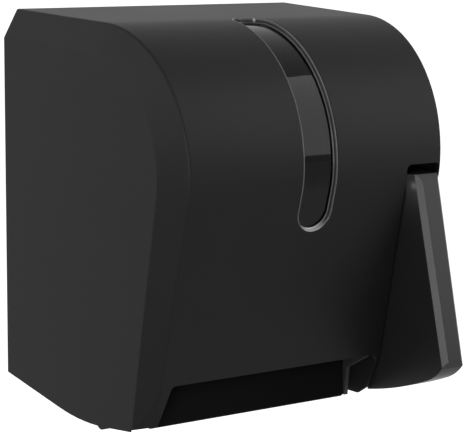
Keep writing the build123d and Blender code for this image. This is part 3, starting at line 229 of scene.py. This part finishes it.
FINISHES = {
    "cover_plastic": moulded("cover_plastic", (0.006, 0.006, 0.0062), 0.50, dust=0.003,
                             Specular_IOR_Level=0.10),
    "lever_plastic": moulded("lever_plastic", (0.009, 0.009, 0.0092), 0.34, dust=0.003,
                             Specular_IOR_Level=0.15),
    "smoked_window": smoked_clear(),
    "frame_plastic": moulded("frame_plastic", (0.016, 0.016, 0.0165), 0.55, grain=1100.0,
                             Specular_IOR_Level=0.3),
    "cheek_plastic": moulded("cheek_plastic", (0.014, 0.014, 0.0145), 0.55, grain=1100.0,
                             Specular_IOR_Level=0.3),
    "hub_plastic": moulded("hub_plastic", (0.20, 0.21, 0.22), 0.45),
    "gear_plastic": moulded("gear_plastic", (0.72, 0.71, 0.66), 0.4),
    "bush_plastic": moulded("bush_plastic", (0.50, 0.45, 0.32), 0.5),
    "steel": metal("steel", (0.60, 0.60, 0.61), 0.3),
    "zinc_steel": metal("zinc_steel", (0.66, 0.67, 0.68), 0.34, stretch=(700, 700, 700)),
    "spring_steel": metal("spring_steel", (0.42, 0.42, 0.43), 0.36),
    "chrome": metal("chrome", (0.75, 0.75, 0.76), 0.14, stretch=(300, 300, 300)),
    "rubber": moulded("rubber", (0.03, 0.03, 0.03), 0.75, grain=800.0, relief=0.00006),
    "soft_rubber": moulded("soft_rubber", (0.035, 0.035, 0.036), 0.8, grain=800.0, relief=0.00006),
}
# Painted shade: the chute and crossbar get a darker, matt plastic so that the recess they stand in reads
# darker.
SHADED_GUIDE_PLASTIC = moulded("guide_plastic_painted_shade", (0.005, 0.005, 0.0053), 0.8, grain=900.0, dust=0.0,
                        Specular_IOR_Level=0.02)
TOWEL_GUIDES = ("guide_chute", "crossbar")
for part in frame["record"]["subparts"]:
    obj = nodes[part["node"]]
    obj.data.materials.clear()
    # The towel guides take the darker plastic, which is painted shade for the recess.
    finish = SHADED_GUIDE_PLASTIC if part["node"] in TOWEL_GUIDES else FINISHES[part["material_slot"]]
    obj.data.materials.append(finish)


# ---- window trim ----
# Metres. Depth is measured out of the wall, and height up from the lowest edge of the casing.
CASING_FOOT = -0.225                    # that edge's Z
CROWN_RADIUS, CROWN_DEPTH, CROWN_HEIGHT = 0.126, 0.146, 0.240
BROW_RADIUS, BROW_DEPTH = 0.075, 0.197
FRONT_LEAN = math.radians(12.7)
WINDOW_HALF, WINDOW_HEAD, WINDOW_FOOT = 0.019, 0.143, 0.186
TRIM_GAP, TRIM_RIM, TRIM_WALL = 0.0001, 0.0005, 0.0009
TRIM_DEPTH, TRIM_FOOT = 0.0047, 0.0022
CROWN_STEPS, BROW_STEPS, FRONT_STEPS, END_STEPS = 60, 8, 10, 42
RIM_STEPS, FOOT_STEPS = 9, 6
# Painted highlight: a pale tone on the trim's rim and foot, stronger on the lower end's upward-facing wall;
# the dark tone is the trim's own.
RIM_HIGHLIGHT, CRESCENT_HIGHLIGHT = 0.20, 0.80
TRIM_DARK, TRIM_HIGHLIGHT = (0.008, 0.008, 0.0083, 1), (0.42, 0.42, 0.43, 1)


def window_path():
    """Closed line round the window, on the casing's surface, with the angle that the surface faces there.

    Each side runs down the crown arc, the brow arc and the leaning front at half the window's width.
    The lower end is a half circle seen from the front, x = half cos a, height = centre - half sin a.
    The upper end is a half circle seen from above, x = -half cos a, depth = centre - half sin a.
    """
    upper_centre = WINDOW_HEAD + WINDOW_HALF
    lower_centre = WINDOW_FOOT + WINDOW_HALF
    front_depth = BROW_DEPTH + BROW_RADIUS * math.cos(FRONT_LEAN)
    front_height = CROWN_HEIGHT - BROW_RADIUS * math.sin(FRONT_LEAN)
    slope = math.tan(FRONT_LEAN)

    crown = np.linspace(math.acos((upper_centre - CROWN_DEPTH) / CROWN_RADIUS), 0, CROWN_STEPS)
    brow = np.linspace(0, -FRONT_LEAN, BROW_STEPS)[1:]
    fall = np.linspace(front_height, lower_centre, FRONT_STEPS)[1:]
    depth = np.concatenate([CROWN_DEPTH + CROWN_RADIUS * np.cos(crown),
                            BROW_DEPTH + BROW_RADIUS * np.cos(brow),
                            front_depth - slope * (front_height - fall)])
    height = np.concatenate([CROWN_HEIGHT + CROWN_RADIUS * np.sin(crown),
                             CROWN_HEIGHT + BROW_RADIUS * np.sin(brow), fall])
    facing = np.concatenate([crown, brow, np.full(len(fall), -FRONT_LEAN)])

    half_turn = np.linspace(0, math.pi, END_STEPS)[1:-1]
    low = lower_centre - WINDOW_HALF * np.sin(half_turn)
    low_depth = front_depth - slope * (front_height - low)
    rear = upper_centre - WINDOW_HALF * np.sin(half_turn)
    rear_facing = np.arccos(np.clip((rear - CROWN_DEPTH) / CROWN_RADIUS, 0, 1))
    rear_height = CROWN_HEIGHT + CROWN_RADIUS * np.sin(rear_facing)

    side = np.full(len(depth), WINDOW_HALF)
    x = np.concatenate([side, WINDOW_HALF * np.cos(half_turn), -side, -WINDOW_HALF * np.cos(half_turn)])
    depth = np.concatenate([depth, low_depth, depth[::-1], rear])
    height = np.concatenate([height, low, height[::-1], rear_height])
    facing = np.concatenate([facing, np.full(len(low), -FRONT_LEAN), facing[::-1], rear_facing])
    return np.stack([x, -depth, height + CASING_FOOT], 1), facing


def trim_section():
    """Closed section of the liner as (inward, depth), with its share of painted highlight at each point.

    The rim is a half circle, inward = gap + r (1 + cos a), depth = gap + r (1 - sin a). The foot is a
    quarter cove from the wall to the lens, inward = foot - c cos a, depth = depth - c (1 - sin a).
    """
    arc = np.linspace(math.pi, 0, RIM_STEPS)
    rim = np.stack([TRIM_GAP + TRIM_RIM * (1 + np.cos(arc)), TRIM_GAP + TRIM_RIM * (1 - np.sin(arc))], 1)
    foot_turn = np.linspace(0, math.pi / 2, FOOT_STEPS)
    cove = TRIM_FOOT - TRIM_WALL
    foot = np.stack([TRIM_FOOT - cove * np.cos(foot_turn), TRIM_DEPTH - cove * (1 - np.sin(foot_turn))], 1)
    section = np.vstack([[(TRIM_GAP, TRIM_DEPTH)], rim, foot, [(TRIM_FOOT, TRIM_DEPTH + TRIM_GAP / 2)]])
    painted_highlight = np.concatenate([[0], np.full(len(rim), RIM_HIGHLIGHT),
                            np.linspace(0, RIM_HIGHLIGHT, len(foot)), [RIM_HIGHLIGHT]])
    return section, painted_highlight


def window_trim():
    """Slim liner of the window: a rounded rim in the opening's edge, a wall and a small foot on the lens.

    Its section is carried along the window's line: point = line + inward times the section's inward
    - normal times its depth. The attribute rim is a painted highlight: the section's share, or where more,
    the crescent's share times (2 inward's rise - 1), so it is strongest on the wall of the lower end, which
    faces up.
    """
    path, facing = window_path()
    section, painted_highlight = trim_section()
    normal = np.stack([np.zeros_like(facing), -np.cos(facing), np.sin(facing)], 1)
    along = np.roll(path, -1, 0) - np.roll(path, 1, 0)
    along /= np.linalg.norm(along, axis=1)[:, None]
    inward = np.cross(along, normal)
    inward /= np.linalg.norm(inward, axis=1)[:, None]
    points = (path[:, None] + inward[:, None] * section[None, :, :1] - normal[:, None] * section[None, :, 1:])
    # Painted highlight: stronger where the wall faces up toward the light.
    upward = np.clip(inward[:, 2] * 2 - 1, 0, 1)
    painted_highlights = np.maximum(painted_highlight[None, :], CRESCENT_HIGHLIGHT * upward[:, None])
    count, ring = points.shape[:2]
    here = np.arange(count * ring).reshape(count, ring)
    after = np.roll(here, -1, 0)
    faces = np.stack([here, np.roll(here, -1, 1), np.roll(after, -1, 1), after], 2).reshape(-1, 4)
    mesh = bpy.data.meshes.new("window_trim")
    mesh.from_pydata(points.reshape(-1, 3).tolist(), [], faces.tolist())
    # The attribute rim carries the painted highlight.
    rim = mesh.attributes.new("rim", "FLOAT", "POINT")
    rim.data.foreach_set("value", painted_highlights.reshape(-1).astype(np.float32))
    mesh.shade_smooth()
    trim = bpy.data.objects.new("window_trim", mesh)
    bpy.context.scene.collection.objects.link(trim)
    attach(trim, "cover")
    return trim


def trim_plastic():
    """Clear plastic seen on edge: dark through its wall, with a pale painted highlight on its rounded rims,
    its foot and the upward-facing wall of the lower end.
    """
    material, tree, principled = shader("window_trim", Specular_IOR_Level=0.15)
    rim = add(tree, "ShaderNodeAttribute", attribute_name="rim")
    skin = add(tree, "ShaderNodeGroup", node_tree=GRAIN)
    skin.inputs["Base roughness"].default_value = 0.10
    # Mixes the dark plastic toward the pale painted highlight.
    tint = add(tree, "ShaderNodeMix", data_type="RGBA")
    tint.inputs[MIX_FIRST].default_value = TRIM_DARK
    tint.inputs[MIX_SECOND].default_value = TRIM_HIGHLIGHT
    join(tree, (rim, "Fac", tint, MIX_SHARE), (tint, MIX_RESULT, principled, "Base Color"),
         (skin, "Roughness", principled, "Roughness"))
    return material


window_trim().data.materials.append(trim_plastic())


# ---- studio ----
WHITE = (1, 1, 1, 1)
DOME_HORIZON, DOME_SHOULDER, DOME_TOP = 0.03, 0.10, 0.50
ZENITH_FROM, ZENITH_TO = 0.80, 0.98
FLOOR_REACH, FLOOR_LEVEL = 40.0, -1.2
# Distances along the floor, in metres from the object's own origin.
GLOW_NEAR, GLOW_FAR = 3.0, 14.0
SHADOW_NEAR, SHADOW_FAR = 1.5, 2.8
FLOOR_GLOW, FAR_GLOW = 0.26, 0.02       # what the floor gives to matt surfaces
SHADOW_GLOW, FLOOR_PALE = 0.30, 0.8     # its own glow near the object, and the tone of its matt share


def white_mask(tree):
    """One for the rays that see the white surround: from the camera, in gloss and through glass."""
    path = add(tree, "ShaderNodeLightPath")
    direct = add(tree, "ShaderNodeMath", operation="MAXIMUM")
    seen = add(tree, "ShaderNodeMath", operation="MAXIMUM")
    join(tree, (path, "Is Camera Ray", direct, 0), (path, "Is Transmission Ray", direct, 1),
         (direct, 0, seen, 0), (path, "Is Glossy Ray", seen, 1))
    return seen


def studio_world():
    """White wherever it is seen, in gloss too. To matt surfaces it is a dim dome, darkest at the horizon."""
    world = bpy.data.worlds.new("studio")
    bpy.context.scene.world = world
    world.use_nodes = True
    tree = world.node_tree
    tree.nodes.clear()
    out = add(tree, "ShaderNodeOutputWorld")
    seen = white_mask(tree)
    pale = add(tree, "ShaderNodeBackground", Color=WHITE, Strength=1.0)
    place = add(tree, "ShaderNodeTexCoord")
    split = add(tree, "ShaderNodeSeparateXYZ")
    lift = add(tree, "ShaderNodeMapRange", From_Max=ZENITH_FROM, To_Min=DOME_HORIZON,
               To_Max=DOME_SHOULDER)
    cap = add(tree, "ShaderNodeMapRange", interpolation_type="SMOOTHSTEP", From_Min=ZENITH_FROM,
              From_Max=ZENITH_TO, To_Max=DOME_TOP - DOME_SHOULDER)
    both = add(tree, "ShaderNodeMath", operation="ADD")
    dome = add(tree, "ShaderNodeBackground", Color=WHITE)
    mix = add(tree, "ShaderNodeMixShader")
    join(tree, (place, "Generated", split, "Vector"), (split, "Z", lift, "Value"),
         (split, "Z", cap, "Value"), (lift, "Result", both, 0), (cap, "Result", both, 1),
         (both, 0, dome, "Strength"),
         (seen, 0, mix, 0), (dome, 0, mix, 1), (pale, 0, mix, 2), (mix, 0, out, "Surface"))


def pale_floor():
    """Wide pale floor well under the object: white far off where it is seen, and clear from below.

    Near the object its own glow is lower and the light on its matt share makes up most of the rest,
    so that it keeps a shadow of the object, a very faint one.
    """
    mesh = bpy.data.meshes.new("pale_floor")
    mesh.from_pydata([(-FLOOR_REACH, -FLOOR_REACH, FLOOR_LEVEL), (FLOOR_REACH, -FLOOR_REACH, FLOOR_LEVEL),
                      (FLOOR_REACH, FLOOR_REACH, FLOOR_LEVEL), (-FLOOR_REACH, FLOOR_REACH, FLOOR_LEVEL)],
                     [], [(0, 1, 2, 3)])
    floor = bpy.data.objects.new("pale_floor", mesh)
    bpy.context.scene.collection.objects.link(floor)
    material = bpy.data.materials.new("pale_floor")
    material.use_nodes = True
    tree = material.node_tree
    tree.nodes.clear()
    out = add(tree, "ShaderNodeOutputMaterial")
    seen = white_mask(tree)
    place = add(tree, "ShaderNodeTexCoord")
    distance = add(tree, "ShaderNodeVectorMath", operation="LENGTH")
    fade = add(tree, "ShaderNodeMapRange", interpolation_type="SMOOTHSTEP", From_Min=GLOW_NEAR,
               From_Max=GLOW_FAR, To_Min=FLOOR_GLOW, To_Max=FAR_GLOW)
    clearing = add(tree, "ShaderNodeMapRange", interpolation_type="SMOOTHSTEP", From_Min=SHADOW_NEAR,
                   From_Max=SHADOW_FAR, To_Min=SHADOW_GLOW, To_Max=1.0)
    dim = add(tree, "ShaderNodeEmission", Color=WHITE)
    pale = add(tree, "ShaderNodeEmission", Color=WHITE)
    matt = add(tree, "ShaderNodeBsdfDiffuse", Color=(FLOOR_PALE, FLOOR_PALE, FLOOR_PALE, 1))
    lit = add(tree, "ShaderNodeAddShader")
    mix = add(tree, "ShaderNodeMixShader")
    under = add(tree, "ShaderNodeNewGeometry")
    clear = add(tree, "ShaderNodeBsdfTransparent")
    one_sided = add(tree, "ShaderNodeMixShader")
    join(tree, (place, "Object", distance, 0), (distance, "Value", fade, "Value"),
         (fade, "Result", dim, "Strength"),
         (distance, "Value", clearing, "Value"), (clearing, "Result", pale, "Strength"),
         (pale, 0, lit, 0), (matt, 0, lit, 1),
         (seen, 0, mix, 0), (dim, 0, mix, 1), (lit, 0, mix, 2),
         (under, "Backfacing", one_sided, 0), (mix, 0, one_sided, 1), (clear, 0, one_sided, 2),
         (one_sided, 0, out, "Surface"))
    mesh.materials.append(material)


def soft_box(name, at, aim, width, height, radiance):
    """Rectangular lamp that faces a point and looks evenly bright."""
    data = bpy.data.lights.new(name, "AREA")
    data.shape = "RECTANGLE"
    data.size, data.size_y = width, height
    data.energy = radiance * math.pi * width * height
    lamp = bpy.data.objects.new(name, data)
    bpy.context.scene.collection.objects.link(lamp)
    lamp.location = at
    lamp.rotation_euler = (Vector(aim) - Vector(at)).to_track_quat("-Z", "Y").to_euler()


CROWN_FACE = (0, -0.24, 0.10)
BAND_FACE = (-0.15, -0.2, 0.06)
LEVER_FACE = (0.10, -0.30, -0.07)
# Name, place, face that it aims at, width, height and radiance. Each lamp stands about where the face
# that it brightens mirrors it to the camera.
LAMPS = (
    ("crown_box", (1.34, -1.43, 1.04), CROWN_FACE, 1.3, 2.0, 3.8),
    ("band_box", (-1.85, 0.32, 0.66), BAND_FACE, 2.0, 1.35, 3.0),
    ("edge_strip", (-1.05, -0.77, 1.40), CROWN_FACE, 0.5, 1.1, 3.0),
    ("lever_strip", (-1.18, -1.45, 0.23), LEVER_FACE, 0.45, 0.7, 20.0),
)

studio_world()
pale_floor()
for lamp in LAMPS:
    soft_box(*lamp)
bpy.context.scene.view_settings.view_transform = "Standard"
